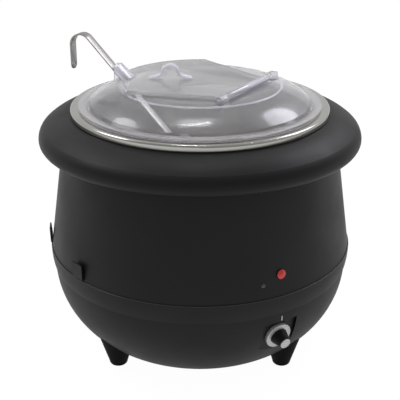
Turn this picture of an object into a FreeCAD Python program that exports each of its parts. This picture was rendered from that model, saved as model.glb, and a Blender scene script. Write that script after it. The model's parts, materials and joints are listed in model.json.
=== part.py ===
import FreeCAD, Part
import math
import os
import Sketcher
from types import SimpleNamespace

# Soup kettle: the axis is Z, the floor is z = 0 and the front is -Y. Millimetres and degrees.

SIZES = {
    # Casing shells
    "seam_radius": 164.0,
    "seam_height": 95.0,
    "bowl_round": 100.0,
    "floor_height": 12.0,
    "floor_ledge": 33.8,
    "bowl_wall": 3.0,
    "seam_step": 1.0,
    "band_swell": 3.3,
    "ledge_height": 116.0,
    "ledge_step": 1.0,
    "band_round": 70.0,
    "cone_wall": 2.5,
    "neck_room": 21.5,
    "shell_headroom": 2.0,
    # Collar
    "collar_overhang": 23.9,
    "collar_widest_drop": 24.5,
    "collar_roll": 8.5,
    "collar_shoulder": 16.0,
    "collar_shoulder_angle": 50.0,
    "collar_top_height": 262.5,
    "collar_wall": 3.0,
    # Feet, bottom plate and their screws
    "foot_inset": 38.0,
    "foot_base_radius": 10.0,
    "foot_top_radius": 21.0,
    "foot_corner": 4.0,
    "foot_height": 40.0,
    "foot_screw_length": 28.0,
    "foot_screw_radius": 2.0,
    "foot_boss_radius": 6.0,
    "screw_head_height": 2.6,
    "bottom_plate_lap": 12.0,
    "bottom_plate_wall": 1.5,
    "plate_screw_lap": 6.0,
    "plate_screw_radius": 1.5,
    # Pot and water well
    "pot_radius": 119.0,
    "pot_wall": 0.9,
    "pot_floor_height": 91.0,
    "pot_corner": 25.0,
    "rim_breadth": 19.0,
    "rim_skirt": 6.0,
    "rim_wall": 1.2,
    "rim_round": 2.5,
    "water_gap": 6.3,
    "well_wall": 0.8,
    "well_floor_height": 80.0,
    "well_corner": 30.0,
    # Lid
    "lid_wall": 2.5,
    "lid_flange_lap": 10.4,
    "lid_flange_wall": 2.2,
    "dome_foot_inset": 1.0,
    "lid_spigot": 6.5,
    "dome_breadth": 48.0,
    "plateau_rise": 22.0,
    "dome_round": 76.0,
    # Hinged flap
    "flap_azimuth": 58.0,
    "hinge_offset": 58.0,
    "hinge_half_length": 59.0,
    "knuckle_length": 14.0,
    "knuckle_width": 8.0,
    "pin_radius": 1.5,
    "barrel_radius": 3.3,
    "flap_half_width": 41.0,
    "flap_flare": 20.0,
    "flap_radius": 88.0,
    "flap_wall": 3.0,
    "flap_rim_wall": 2.5,
    "flap_landing": 7.0,
    "hood_width": 18.0,
    "hood_height": 15.5,
    "hood_length": 16.0,
    "hood_wall": 2.0,
    "grip_length": 36.0,
    "grip_height": 15.0,
    "grip_width": 14.0,
    "grip_wall": 4.0,
    "grip_distance": 35.0,
    # Ladle
    "ladle_plane": 7.0,
    "ladle_turn": 20.0,
    "ladle_lean": 47.0,
    "ladle_wall": 1.5,
    "ladle_width": 12.0,
    "notch_distance": 81.0,
    "hook_rise": 56.7,
    "hook_round": 11.7,
    "hook_leg": 27.0,
    "ladle_bowl_radius": 34.0,
    "ladle_bowl_wall": 1.0,
    "ladle_weld": 8.0,
    # Control panel, knob and thermostat
    "panel_azimuth": 30.0,
    "panel_height": 66.0,
    "panel_depth": 4.0,
    "panel_pitch": 12.0,
    "panel_width": 40.0,
    "panel_tall": 38.0,
    "dial_radius": 14.25,
    "dial_wall": 1.2,
    "dial_height": 4.0,
    "knob_base_radius": 9.4,
    "knob_radius": 6.2,
    "knob_length": 11.5,
    "cap_radius": 5.6,
    "cap_wall": 1.0,
    "shaft_radius": 3.0,
    "bush_radius": 4.5,
    "bush_nut_radius": 7.0,
    "bush_nut_wall": 2.0,
    "thermostat_width": 30.0,
    "thermostat_depth": 24.0,
    "mark_width": 1.2,
    "mark_length": 5.8,
    "mark_wall": 0.3,
    "bulb_radius": 3.0,
    "bulb_length": 40.0,
    "capillary_radius": 0.9,
    # Heater under the well
    "element_ring_radius": 70.0,
    "element_radius": 4.0,
    "element_leg_radius": 2.5,
    "element_leg_spread": 10.0,
    "element_leg_length": 22.0,
    "clamp_width": 14.0,
    "clamp_wall": 1.8,
    "stud_radius": 3.0,
    "stud_length": 24.0,
    "stud_nut_radius": 5.5,
    "stud_nut_height": 4.0,
    "shield_radius": 105.0,
    "shield_wall": 0.8,
    "cutout_radius": 8.5,
    "cutout_height": 8.0,
    "cutout_distance": 36.0,
    # Lamp, rivet, clips, gland and wiring
    "lamp_azimuth": 29.0,
    "lamp_height": 138.5,
    "lens_radius": 4.8,
    "lens_dome": 2.0,
    "lamp_stem_radius": 3.8,
    "lamp_body_radius": 5.5,
    "lamp_body_length": 19.0,
    "rivet_azimuth": 22.0,
    "rivet_height": 130.5,
    "rivet_head_radius": 2.2,
    "rivet_shank_radius": 1.2,
    "rivet_head_height": 1.1,
    "clip_front_azimuth": -48.0,
    "clip_side_azimuth": -83.0,
    "clip_width": 16.0,
    "clip_height": 16.5,
    "clip_wall": 1.4,
    "clip_spread": 3.2,
    "gland_height": 60.0,
    "gland_radius": 7.8,
    "gland_bore": 4.0,
    "gland_flange_radius": 11.5,
    "gland_flange_wall": 4.0,
    "gland_length": 12.0,
    "terminal_length": 32.0,
    "terminal_width": 18.0,
    "terminal_height": 16.0,
    "terminal_room": 7.0,
    "wire_radius": 1.3,
    # Clearances
    "seat_gap": 0.3,
    "hanging_gap": 0.2,
    "thread_gap": 0.1,
    "running_gap": 0.05,
}
FOOT_AZIMUTHS = {"front_right": 45.0, "back_right": 135.0, "back_left": 225.0, "front_left": 315.0}
FEED_AZIMUTHS = (145.0, 122.0, 99.0, 76.0, 53.0)
VENT_COUNT = 10
STRAIGHT_UP = 90.0

doc = FreeCAD.newDocument("soup_kettle")
sheet = doc.addObject("Spreadsheet::Sheet", "sizes")
for row, (alias, number) in enumerate(SIZES.items(), start=1):
    sheet.set(f"A{row}", alias)
    sheet.set(f"B{row}", str(number))
    sheet.setAlias(f"B{row}", alias)
doc.recompute()


class Size:
    """A number together with the expression on the sheet that gives it."""

    def __init__(self, number, text):
        self.number = number
        self.text = text

    def __add__(self, other):
        other = as_size(other)
        return Size(self.number + other.number, f"({self.text} + {other.text})")

    def __sub__(self, other):
        other = as_size(other)
        return Size(self.number - other.number, f"({self.text} - {other.text})")

    def __mul__(self, other):
        other = as_size(other)
        return Size(self.number * other.number, f"({self.text} * {other.text})")

    def __truediv__(self, other):
        other = as_size(other)
        return Size(self.number / other.number, f"({self.text} / {other.text})")

    def __neg__(self):
        return Size(-self.number, f"(0 - {self.text})")

    def __radd__(self, other):
        return as_size(other) + self

    def __rsub__(self, other):
        return as_size(other) - self

    def __rmul__(self, other):
        return as_size(other) * self


def as_size(value):
    return value if isinstance(value, Size) else Size(float(value), f"({float(value)})")


def root(size):
    return Size(math.sqrt(size.number), f"sqrt({size.text})")


def sine(angle):
    return Size(math.sin(math.radians(angle.number)), f"sin({angle.text} * 1 deg)")


def cosine(angle):
    return Size(math.cos(math.radians(angle.number)), f"cos({angle.text} * 1 deg)")


def tangent(angle):
    return Size(math.tan(math.radians(angle.number)), f"tan({angle.text} * 1 deg)")


s = SimpleNamespace(**{alias: Size(number, f"sizes.{alias}") for alias, number in SIZES.items()})
HOME = FreeCAD.Placement()
nodes = {}


def node(item, label):
    """Register a finished piece under the name of its file."""
    item.Label = label
    nodes[label] = item
    return item


def shifted(frame, x=0, y=0, z=0):
    """The frame moved along its own axes."""
    step = FreeCAD.Vector(as_size(x).number, as_size(y).number, as_size(z).number)
    return frame.multiply(FreeCAD.Placement(step, FreeCAD.Rotation()))


def facing(azimuth, radius, height, pitch):
    """A frame on the wall: Z out of it and tilted up by the pitch, Y up the wall, X to the right."""
    turn = math.radians(as_size(azimuth).number)
    tilt = math.radians(as_size(pitch).number)
    level = FreeCAD.Vector(math.sin(turn), -math.cos(turn), 0)
    right = FreeCAD.Vector(math.cos(turn), math.sin(turn), 0)
    out = level * math.cos(tilt) + FreeCAD.Vector(0, 0, math.sin(tilt))
    base = level * as_size(radius).number + FreeCAD.Vector(0, 0, as_size(height).number)
    return FreeCAD.Placement(base, FreeCAD.Rotation(right, out.cross(right), out, "ZXY"))


def primitive(kind, name, frame, **sizes):
    item = doc.addObject("Part::" + kind, name)
    for prop, size in sizes.items():
        item.setExpression(prop, as_size(size).text)
    item.Placement = frame
    return item


def cylinder(name, frame, radius, height):
    return primitive("Cylinder", name, frame, Radius=radius, Height=height)


def box(name, frame, length, width, height):
    """A box centred on the frame in X and Y, standing on it in Z."""
    corner = shifted(frame, x=-as_size(length) / 2, y=-as_size(width) / 2)
    return primitive("Box", name, corner, Length=length, Width=width, Height=height)


def fuse(name, items):
    item = doc.addObject("Part::MultiFuse", name)
    item.Shapes = items
    return item


def common(name, items):
    item = doc.addObject("Part::MultiCommon", name)
    item.Shapes = items
    return item


def cut(name, base, tools):
    item = doc.addObject("Part::Cut", name)
    item.Base = base
    item.Tool = tools[0] if len(tools) == 1 else fuse(name + "_tools", tools)
    return item


def arc_edge(start, end, bend):
    """The minor arc from start to end: a positive bend turns left along the way, a negative one right."""
    chord = end - start
    half = chord.Length / 2
    side = 1 if bend > 0 else -1
    left = FreeCAD.Vector(-chord.y, chord.x, 0).normalize()
    rise = math.sqrt(max(bend * bend - half * half, 0.0))
    centre = start + chord / 2 + left * (side * rise)
    first, last = (start, end) if side > 0 else (end, start)
    angles = [math.atan2(point.y - centre.y, point.x - centre.x) for point in (first, last)]
    circle = Part.Circle(centre, FreeCAD.Vector(0, 0, 1), abs(bend))
    return Part.ArcOfCircle(circle, angles[0], angles[1]), (1, 2) if side > 0 else (2, 1)


def outline(body, name, role, corners):
    """A closed sketch on the body's plane. A corner is (across, up), with the bend of the next edge if it has one."""
    sketch = body.newObject("Sketcher::SketchObject", name)
    plane = [item for item in body.Origin.OriginFeatures if item.Role == role][0]
    sketch.AttachmentSupport = [(plane, "")]
    sketch.MapMode = "FlatFace"
    points = [FreeCAD.Vector(as_size(c[0]).number, as_size(c[1]).number, 0) for c in corners]
    ends = []
    for index, corner in enumerate(corners):
        start = points[index]
        end = points[(index + 1) % len(points)]
        if len(corner) == 3:
            edge, order = arc_edge(start, end, as_size(corner[2]).number)
        else:
            edge, order = Part.LineSegment(start, end), (1, 2)
        sketch.addGeometry(edge)
        ends.append(order)
    for index, corner in enumerate(corners):
        after = (index + 1) % len(corners)
        sketch.addConstraint(Sketcher.Constraint("Coincident", index, ends[index][1], after, ends[after][0]))
        for kind, size in (("DistanceX", corner[0]), ("DistanceY", corner[1])):
            size = as_size(size)
            rule = Sketcher.Constraint(kind, -1, 1, index, ends[index][0], size.number)
            sketch.setExpression(f"Constraints[{sketch.addConstraint(rule)}]", size.text)
        if len(corner) == 3:
            bend = as_size(corner[2])
            bend = bend if bend.number > 0 else -bend
            rule = Sketcher.Constraint("Radius", index, bend.number)
            sketch.setExpression(f"Constraints[{sketch.addConstraint(rule)}]", bend.text)
    return sketch


def revolved(name, corners, frame=HOME):
    """A body turned round its own Z axis from an outline of (radius, height) corners."""
    body = doc.addObject("PartDesign::Body", name)
    sketch = outline(body, name + "_profile", "XZ_Plane", corners)
    turn = body.newObject("PartDesign::Revolution", name + "_turn")
    turn.Profile = sketch
    turn.ReferenceAxis = (sketch, ["V_Axis"])
    turn.Angle = 360
    body.Placement = frame
    return body


def padded(name, role, corners, length, frame=HOME):
    """A body raised by the length from an outline on one of its planes."""
    body = doc.addObject("PartDesign::Body", name)
    sketch = outline(body, name + "_outline", role, corners)
    pad = body.newObject("PartDesign::Pad", name + "_pad")
    pad.Profile = sketch
    pad.setExpression("Length", as_size(length).text)
    body.Placement = frame
    return body


def washer(name, frame, outer, inner, height):
    """A plain ring standing on the frame."""
    return revolved(name, [(inner, 0), (outer, 0), (outer, height), (inner, height)], frame)


def tube(name, radius, points):
    """A round tube along straight runs joined by tangent arcs as large as half the shorter run allows."""
    edges = []
    last = points[0]
    for before, corner, after in zip(points, points[1:], points[2:]):
        back = (before - corner).normalize()
        ahead = (after - corner).normalize()
        reach = 0.45 * min((before - corner).Length, (after - corner).Length)
        start = corner + back * reach
        end = corner + ahead * reach
        half_turn = (math.pi - back.getAngle(ahead)) / 2
        bend = reach / math.tan(half_turn)
        inward = (back + ahead).normalize()
        middle = corner + inward * (bend / math.cos(half_turn) - bend)
        edges.append(Part.LineSegment(last, start).toShape())
        edges.append(Part.Arc(start, middle, end).toShape())
        last = end
    edges.append(Part.LineSegment(last, points[-1]).toShape())
    path = Part.Wire(edges)
    ring = Part.Wire(Part.Circle(points[0], points[1] - points[0], as_size(radius).number).toShape())
    item = doc.addObject("Part::Feature", name)
    item.Shape = path.makePipeShell([ring], True, True)
    return item


# Sizes that several pieces share
pot_outside = s.pot_radius + s.pot_wall
rim_radius = s.pot_radius + s.rim_breadth
lid_flange_radius = s.pot_radius + s.lid_flange_lap
dome_foot_radius = s.pot_radius - s.dome_foot_inset
plateau_radius = dome_foot_radius - s.dome_breadth
well_inside = pot_outside + s.water_gap
well_outside = well_inside + s.well_wall
well_top = s.collar_top_height + s.well_wall
rim_bottom = well_top + s.hanging_gap
rim_top_height = rim_bottom + s.rim_skirt
plateau_height = rim_top_height + s.plateau_rise
collar_inside = well_outside + s.seat_gap
cone_top_radius = collar_inside + s.neck_room
collar_radius = cone_top_radius + s.collar_overhang
collar_widest_height = s.collar_top_height - s.collar_widest_drop
collar_base_height = collar_widest_height - s.collar_roll
bowl_centre = s.seam_radius - s.bowl_round
ledge_radius = s.seam_radius + s.band_swell
cone_foot_radius = ledge_radius - s.ledge_step
cone_rise = collar_base_height - s.ledge_height
cone_pitch = math.degrees(math.atan2((cone_foot_radius - cone_top_radius).number, cone_rise.number))
foot_ring_radius = s.seam_radius - s.foot_inset
floor_inside = s.floor_height + s.bowl_wall
flap_bottom = plateau_height + s.seat_gap
flap_top = flap_bottom + s.flap_wall
hinge_height = flap_bottom + s.barrel_radius + s.seat_gap
pin_bore = s.pin_radius + s.running_gap


def bowl_radius(height, round_radius):
    """Radius at a height of the bowl's arc, or of one with the same centre."""
    drop = s.seam_height - height
    return bowl_centre + root(round_radius * round_radius - drop * drop)


def cone_radius(height):
    """Outer radius of the upper shell's cone at a height."""
    slope = (cone_foot_radius - cone_top_radius) / cone_rise
    return cone_foot_radius - slope * (height - s.ledge_height)


def dome_height(radius, round_radius):
    """Height at a radius of the lid's dome arc, or of one with the same centre."""
    reach = radius - plateau_radius
    return plateau_height - s.dome_round + root(round_radius * round_radius - reach * reach)


def bowl_solid(name, grow):
    """The bowl's outer form as one block, grown by a gap."""
    round_radius = s.bowl_round + grow
    low = s.floor_height - grow
    return revolved(name, [
        (0, low),
        (bowl_radius(low, round_radius), low, round_radius),
        (s.seam_radius + grow, s.seam_height),
        (0, s.seam_height),
    ])


floor_opening = bowl_radius(s.floor_height, s.bowl_round) - s.floor_ledge
panel = facing(s.panel_azimuth, bowl_radius(s.panel_height, s.bowl_round) - s.panel_depth,
               s.panel_height, -s.panel_pitch)
lamp = facing(s.lamp_azimuth, cone_radius(s.lamp_height), s.lamp_height, cone_pitch)
rivet = facing(s.rivet_azimuth, cone_radius(s.rivet_height), s.rivet_height, cone_pitch)
gland_pitch = math.degrees(math.asin(((s.gland_height - s.seam_height) / s.bowl_round).number))
gland = facing(180, bowl_radius(s.gland_height, s.bowl_round), s.gland_height, gland_pitch)
UPRIGHT = FreeCAD.Vector(0, 0, 1)
flap_frame = FreeCAD.Placement(FreeCAD.Vector(), FreeCAD.Rotation(UPRIGHT, s.flap_azimuth.number))
ladle_plan = FreeCAD.Placement(
    FreeCAD.Vector(-s.notch_distance.number, s.ladle_plane.number, 0),
    FreeCAD.Rotation(UPRIGHT, -s.ladle_turn.number))


def foot_frame(azimuth):
    return facing(azimuth, foot_ring_radius, 0, STRAIGHT_UP)


# Base shell: the bowl, the panel's pocket, the screw bosses and the holes
bowl_inner_round = s.bowl_round - s.bowl_wall
bowl = revolved("bowl", [
    (floor_opening, s.floor_height),
    (bowl_radius(s.floor_height, s.bowl_round), s.floor_height, s.bowl_round),
    (s.seam_radius, s.seam_height),
    (s.seam_radius - s.bowl_wall, s.seam_height, -bowl_inner_round),
    (bowl_radius(floor_inside, bowl_inner_round), floor_inside),
    (floor_opening, floor_inside),
])
pocket_wall = box("pocket_wall", shifted(panel, z=-s.bowl_wall),
                  s.panel_width + 2 * s.bowl_wall, s.panel_tall + 2 * s.bowl_wall,
                  s.bowl_wall + 3 * s.panel_depth)
bosses = [cylinder("boss_" + corner, foot_frame(azimuth), s.foot_boss_radius,
                   s.foot_screw_length + s.foot_screw_radius)
          for corner, azimuth in FOOT_AZIMUTHS.items()]
inside_forms = fuse("inside_forms", [pocket_wall] + bosses)
thickened = common("thickened", [bowl_solid("bowl_form", as_size(0)), inside_forms])
foot_holes = [cylinder("foot_hole_" + corner, foot_frame(azimuth), s.foot_screw_radius + s.thread_gap,
                       s.foot_screw_length + s.seat_gap)
              for corner, azimuth in FOOT_AZIMUTHS.items()]
plate_screw_ring = floor_opening + s.plate_screw_lap
plate_frames = [facing(azimuth, plate_screw_ring, s.floor_height, STRAIGHT_UP)
                for azimuth in FOOT_AZIMUTHS.values()]
plate_holes = [cylinder(f"floor_hole_{index}", frame, s.plate_screw_radius + s.thread_gap, s.bowl_wall)
               for index, frame in enumerate(plate_frames)]
node(cut("base_shell_cut", fuse("base_shell_form", [bowl, thickened]), [
    box("pocket", panel, s.panel_width, s.panel_tall, 5 * s.panel_depth),
    cylinder("bush_hole", shifted(panel, z=-2 * s.bowl_wall), s.bush_radius + s.thread_gap, 3 * s.bowl_wall),
    cylinder("gland_hole", shifted(gland, z=-3 * s.bowl_wall), s.gland_radius + s.thread_gap,
             5 * s.bowl_wall),
] + foot_holes + plate_holes), "base_shell")

# Upper shell: the band with its ledge and the cone up into the collar
shell_top = s.collar_top_height - s.collar_wall - s.shell_headroom
upper_form = revolved("upper_form", [
    (s.seam_radius + s.seam_step, s.seam_height, s.band_round),
    (ledge_radius, s.ledge_height - s.ledge_step),
    (cone_foot_radius, s.ledge_height),
    (cone_radius(shell_top), shell_top),
    (cone_radius(shell_top) - s.cone_wall, shell_top),
    (cone_foot_radius - s.cone_wall, s.ledge_height),
    (s.seam_radius + s.seam_step - s.cone_wall, s.seam_height),
])
node(cut("upper_shell_cut", upper_form, [
    cylinder("lamp_hole", shifted(lamp, z=-3 * s.cone_wall), s.lamp_stem_radius + s.thread_gap,
             5 * s.cone_wall),
    cylinder("rivet_hole", shifted(rivet, z=-3 * s.cone_wall), s.rivet_shank_radius + s.thread_gap,
             5 * s.cone_wall),
]), "upper_shell")

# Collar: roll, shoulder and crown arcs, each tangent to the next
roll_centre = collar_radius - s.collar_roll
shoulder_centre = collar_radius - s.collar_shoulder
shoulder_cosine = cosine(s.collar_shoulder_angle)
shoulder_sine = sine(s.collar_shoulder_angle)
crown_rise = s.collar_top_height - collar_widest_height - s.collar_shoulder
crown = s.collar_shoulder + crown_rise / (1 - shoulder_sine)
crown_centre = shoulder_centre - (crown - s.collar_shoulder) * shoulder_cosine
collar_lip = cone_radius(collar_base_height) + s.seat_gap


def shoulder_end(radius):
    return shoulder_centre + radius * shoulder_cosine, collar_widest_height + radius * shoulder_sine


inner_roll = s.collar_roll - s.collar_wall
inner_shoulder = s.collar_shoulder - s.collar_wall
inner_crown = crown - s.collar_wall
node(revolved("collar_body", [
    (collar_lip, collar_base_height),
    (roll_centre, collar_base_height, s.collar_roll),
    (collar_radius, collar_widest_height, s.collar_shoulder),
    (*shoulder_end(s.collar_shoulder), crown),
    (crown_centre, s.collar_top_height),
    (collar_inside, s.collar_top_height),
    (collar_inside, s.collar_top_height - s.collar_wall),
    (crown_centre, s.collar_top_height - s.collar_wall, -inner_crown),
    (*shoulder_end(inner_shoulder), -inner_shoulder),
    (collar_radius - s.collar_wall, collar_widest_height, -inner_roll),
    (roll_centre, collar_base_height + s.collar_wall),
    (collar_lip, collar_base_height + s.collar_wall),
]), "collar")

# Feet: tapered, hollow for a screw, shaped to the bowl above them
bowl_seat = bowl_solid("bowl_seat", s.seat_gap)
head_radius = 2 * s.foot_screw_radius
head_pocket = head_radius + s.seat_gap
head_seat = s.foot_corner + s.screw_head_height
foot_screws = []
for corner, azimuth in FOOT_AZIMUTHS.items():
    form = revolved("foot_form_" + corner, [
        (head_pocket, 0),
        (s.foot_base_radius - s.foot_corner, 0, s.foot_corner),
        (s.foot_base_radius, s.foot_corner),
        (s.foot_top_radius, s.foot_height),
        (s.foot_screw_radius + s.thread_gap, s.foot_height),
        (s.foot_screw_radius + s.thread_gap, head_seat),
        (head_pocket, head_seat),
    ], foot_frame(azimuth))
    node(cut("foot_cut_" + corner, form, [bowl_seat]), "foot_" + corner)
    foot_screws.append(revolved("foot_screw_" + corner, [
        (0, s.foot_corner),
        (head_radius, s.foot_corner),
        (head_radius, head_seat),
        (s.foot_screw_radius, head_seat),
        (s.foot_screw_radius, s.foot_screw_length),
        (0, s.foot_screw_length),
    ], foot_frame(azimuth)))
node(fuse("foot_screw_set", foot_screws), "foot_screws")

# Bottom plate with vents, and its screws
plate_bottom = s.floor_height - s.bottom_plate_wall
bottom_plate_radius = floor_opening + s.bottom_plate_lap
plate_form = cylinder("plate_form", shifted(HOME, z=plate_bottom), bottom_plate_radius, s.bottom_plate_wall)
vents = [box(f"vent_{index}", facing(index * 360 / VENT_COUNT, floor_opening / 2, plate_bottom, STRAIGHT_UP),
             s.bottom_plate_wall * 3, floor_opening / 2, s.bottom_plate_wall)
         for index in range(VENT_COUNT)]
screw_clearance = [cylinder(f"plate_hole_{index}", shifted(frame, z=-s.bottom_plate_wall),
                            s.plate_screw_radius + s.thread_gap, s.bottom_plate_wall)
                   for index, frame in enumerate(plate_frames)]
node(cut("bottom_plate_cut", plate_form, vents + screw_clearance), "bottom_plate")
plate_screws = [revolved(f"plate_screw_{index}", [
    (0, -s.screw_head_height),
    (2 * s.plate_screw_radius, -s.screw_head_height),
    (2 * s.plate_screw_radius, 0),
    (s.plate_screw_radius, 0),
    (s.plate_screw_radius, s.bottom_plate_wall + s.bowl_wall),
    (0, s.bottom_plate_wall + s.bowl_wall),
], shifted(frame, z=-s.bottom_plate_wall)) for index, frame in enumerate(plate_frames)]
node(fuse("plate_screw_set", plate_screws), "bottom_plate_screws")

# Water well, hung by its flange on the collar
node(revolved("well_body", [
    (0, s.well_floor_height),
    (well_outside - s.well_corner, s.well_floor_height, s.well_corner),
    (well_outside, s.well_floor_height + s.well_corner),
    (well_outside, s.collar_top_height),
    (rim_radius - s.rim_wall, s.collar_top_height),
    (rim_radius - s.rim_wall, well_top),
    (well_inside, well_top),
    (well_inside, s.well_floor_height + s.well_corner, -(s.well_corner - s.well_wall)),
    (well_outside - s.well_corner, s.well_floor_height + s.well_wall),
    (0, s.well_floor_height + s.well_wall),
]), "water_well")

# Soup pot with its rolled rim
pot_inner_floor = s.pot_floor_height + s.pot_wall
flange_round = s.rim_round + s.pot_wall
node(revolved("pot_body", [
    (0, s.pot_floor_height),
    (s.pot_radius - s.pot_corner, s.pot_floor_height, s.pot_corner + s.pot_wall),
    (pot_outside, pot_inner_floor + s.pot_corner),
    (pot_outside, rim_top_height - s.rim_wall),
    (rim_radius - s.rim_wall, rim_top_height - s.rim_wall),
    (rim_radius - s.rim_wall, rim_bottom),
    (rim_radius, rim_bottom),
    (rim_radius, rim_top_height - s.rim_round, s.rim_round),
    (rim_radius - s.rim_round, rim_top_height),
    (s.pot_radius + flange_round, rim_top_height, flange_round),
    (s.pot_radius, rim_top_height - flange_round),
    (s.pot_radius, pot_inner_floor + s.pot_corner, -s.pot_corner),
    (s.pot_radius - s.pot_corner, pot_inner_floor),
    (0, pot_inner_floor),
]), "soup_pot")

# Outline of the flap in its own frame, where Y points to the free edge
def flap_outline(inset, near):
    """Corners of the flap, or of the opening under it, drawn in by the inset from the near edge."""
    flare = tangent(s.flap_flare)
    reach = s.flap_radius - inset
    side = s.flap_half_width - inset + flare * s.hinge_offset
    slope = 1 + flare * flare
    far = (root(reach * reach * slope - side * side) - side * flare) / slope
    half_far = side + flare * far
    half_near = side + flare * near
    return [(-half_near, near), (half_near, near), (half_far, far, reach), (-half_far, far)]


# Ladle hood: side view from the notch, used for its outside, its inside and the notch through the lid
hood_mouth = s.flap_radius + s.seat_gap - s.notch_distance
hood_back = hood_mouth - s.hood_length


def hood_form(name, shrink, low, mouth):
    """A wedge-shaped hood, smaller than the outside by the shrink on every side."""
    top = flap_top + s.hood_height - shrink
    corners = [
        (-mouth, low),
        (-(hood_back - s.hood_wall + shrink), low),
        (-(hood_back - s.hood_wall + shrink), flap_top),
        (-(hood_mouth - s.hood_width / 6), top),
        (-mouth, top),
    ]
    width = s.hood_width - 2 * shrink
    return padded(name, "XZ_Plane", corners, width, shifted(ladle_plan, y=width / 2))


# Lid: dome, hinge knuckles, the opening under the flap and the ladle's notch
flange_bottom = rim_top_height + s.seat_gap
flange_top = flange_bottom + s.lid_flange_wall
spigot_outside = s.pot_radius - s.lid_wall * s.seat_gap
spigot_inside = spigot_outside - s.lid_wall
inner_dome = s.dome_round - s.lid_wall
lid_form = revolved("lid_form", [
    (lid_flange_radius, flange_bottom),
    (lid_flange_radius, flange_top),
    (dome_foot_radius + s.lid_wall, flange_top),
    (dome_foot_radius, dome_height(dome_foot_radius, s.dome_round), s.dome_round),
    (plateau_radius, plateau_height),
    (0, plateau_height),
    (0, plateau_height - s.lid_wall),
    (plateau_radius, plateau_height - s.lid_wall, -inner_dome),
    (spigot_inside, dome_height(spigot_inside, inner_dome)),
    (spigot_inside, flange_bottom - s.lid_spigot),
    (spigot_outside, flange_bottom - s.lid_spigot),
    (spigot_outside, flange_bottom),
])
knuckle_reach = s.hinge_half_length - s.knuckle_length / 2
knuckle_base = dome_height(s.hinge_half_length + s.hinge_offset / 2, s.dome_round) - s.seat_gap
knuckle_top = hinge_height + s.barrel_radius
knuckles = [box(f"knuckle_{index}", shifted(flap_frame, side * knuckle_reach, -s.hinge_offset, knuckle_base),
                s.knuckle_length, s.knuckle_width, knuckle_top - knuckle_base)
            for index, side in enumerate((-1, 1))]
ALONG_HINGE = FreeCAD.Rotation(FreeCAD.Vector(0, 1, 0), 90)


def along_hinge(half_length):
    """A frame at one end of the hinge line, with Z running along it."""
    start = shifted(flap_frame, -half_length, -s.hinge_offset, hinge_height)
    return start.multiply(FreeCAD.Placement(FreeCAD.Vector(), ALONG_HINGE))


opening_near = s.knuckle_width + s.lid_wall - s.hinge_offset
opening = padded("lid_opening", "XY_Plane", flap_outline(s.flap_landing, opening_near),
                 plateau_height, flap_frame)
lid_notch = hood_form("lid_notch", s.hood_wall, rim_top_height + s.lid_flange_wall * 4, hood_mouth)
node(cut("lid_cut", fuse("lid_with_knuckles", [lid_form] + knuckles), [
    opening,
    lid_notch,
    cylinder("knuckle_bore", along_hinge(s.hinge_half_length), pin_bore, 2 * s.hinge_half_length),
]), "lid")
node(cylinder("pin", along_hinge(s.hinge_half_length), s.pin_radius, 2 * s.hinge_half_length), "hinge_pin")

# Flap: plate, turned-down rim, hinge barrel and hood
barrel_half = knuckle_reach - s.knuckle_length / 2 - s.flap_wall
plate = padded("flap_plate", "XY_Plane", flap_outline(as_size(0), -s.hinge_offset), s.flap_wall,
               shifted(flap_frame, z=flap_bottom))
rim_edge = s.flap_radius - s.flap_rim_wall
rim_low = dome_height(rim_edge, s.dome_round) + s.seat_gap
rim_ring = washer("flap_rim_ring", shifted(HOME, z=rim_low), s.flap_radius, rim_edge, flap_top - rim_low)
far_corner = flap_outline(as_size(0), -s.hinge_offset)[2]
rim_span = box("flap_rim_span", shifted(flap_frame, y=far_corner[1] + s.flap_radius / 2, z=rim_low),
               2 * far_corner[0], s.flap_radius, flap_top - rim_low)
flap_rim = common("flap_rim", [rim_ring, rim_span])
barrel = cylinder("flap_barrel", along_hinge(barrel_half), s.barrel_radius, 2 * barrel_half)
hood = hood_form("flap_hood", as_size(0), flap_bottom, hood_mouth)
node(cut("flap_cut", fuse("flap_form", [plate, flap_rim, barrel, hood]), [
    hood_form("hood_inside", s.hood_wall, rim_top_height, hood_mouth + s.hood_wall * 2),
    cylinder("barrel_bore", along_hinge(s.hinge_half_length), pin_bore, 2 * s.hinge_half_length),
]), "lid_flap")

# Grip: an arch standing on the flap
grip_half = s.grip_length / 2
grip_inner = grip_half - s.grip_wall
grip_inner_rise = s.grip_height - s.grip_wall


def arch_round(half, rise):
    return (half * half + rise * rise) / (2 * rise)


grip_frame = FreeCAD.Placement(
    FreeCAD.Vector(-s.grip_distance.number, (s.ladle_plane + s.grip_width / 2).number, flap_top.number),
    FreeCAD.Rotation())
node(padded("grip_body", "XZ_Plane", [
    (grip_half, 0, arch_round(grip_half, s.grip_height)),
    (-grip_half, 0),
    (-grip_inner, 0, -arch_round(grip_inner, grip_inner_rise)),
    (grip_inner, 0),
], s.grip_width, grip_frame), "flap_grip")

# Ladle: the strip runs up its lean, over the hook and down the leg
lean_cosine = cosine(s.ladle_lean)
lean_sine = sine(s.ladle_lean)
half_strip = s.ladle_wall / 2
notch_height = flap_bottom + s.flap_wall / 2
bowl_offset = s.ladle_bowl_radius + half_strip + s.thread_gap
bowl_room = s.pot_radius - 2 * s.seat_gap - s.ladle_bowl_radius
notch_along = s.notch_distance * cosine(s.ladle_turn) + s.ladle_plane * sine(s.ladle_turn)
notch_aside = s.notch_distance * sine(s.ladle_turn) - s.ladle_plane * cosine(s.ladle_turn)
bowl_distance = notch_along + root(bowl_room * bowl_room - notch_aside * notch_aside)
ladle_reach = (bowl_distance - bowl_offset * lean_sine) / lean_cosine


def strip_point(along, aside):
    """A point on the handle: along it from the notch, and aside to its right."""
    return (lean_sine * aside - lean_cosine * along,
            notch_height + lean_sine * along + lean_cosine * aside)


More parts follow.
